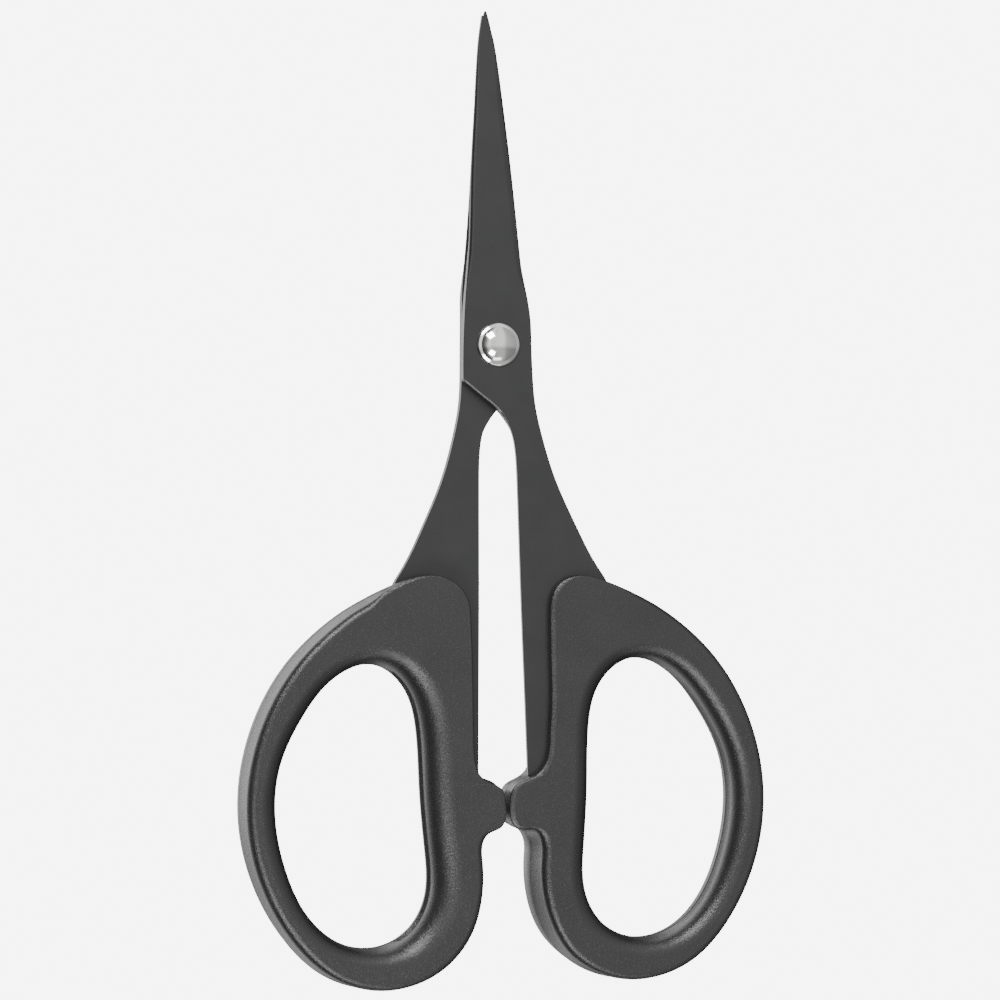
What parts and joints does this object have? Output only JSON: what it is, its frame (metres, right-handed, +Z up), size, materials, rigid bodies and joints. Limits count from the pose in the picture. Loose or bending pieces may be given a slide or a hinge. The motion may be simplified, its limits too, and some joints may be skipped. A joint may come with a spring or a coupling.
{
  "type": "embroidery scissors",
  "caption": "Small embroidery scissors for snipping thread: slim straight coated blades on a domed rivet, moulded plastic finger loops with closing nubs.",
  "frame": {"origin": "under the middle of the closed scissors, on the surface they lie on", "axes": "+Y from the finger loops to the blade tips, +X to the right as seen from the front, +Z up out of the front face with the rivet's domed head"},
  "size_m": [0.0624, 0.1145, 0.006],
  "materials": {
    "blades": "matte dark coating",
    "loops": "fine spark-eroded texture",
    "rivet": "polished"
  },
  "bodies": {
    "left_half": {"rear_blade": "blades", "left_finger_loop": "loops", "pivot_rivet": "rivet", "rear_washer": "rivet"},
    "right_half": {"front_blade": "blades", "right_finger_loop": "loops"}
  },
  "joints": [
    {"name": "blade_pivot", "type": "hinge", "parent": "left_half", "child": "right_half", "pos_m": [0, 0.0177, 0.00385], "axis": [0, 0, 1], "range_deg": [0, 70]}
  ]
}
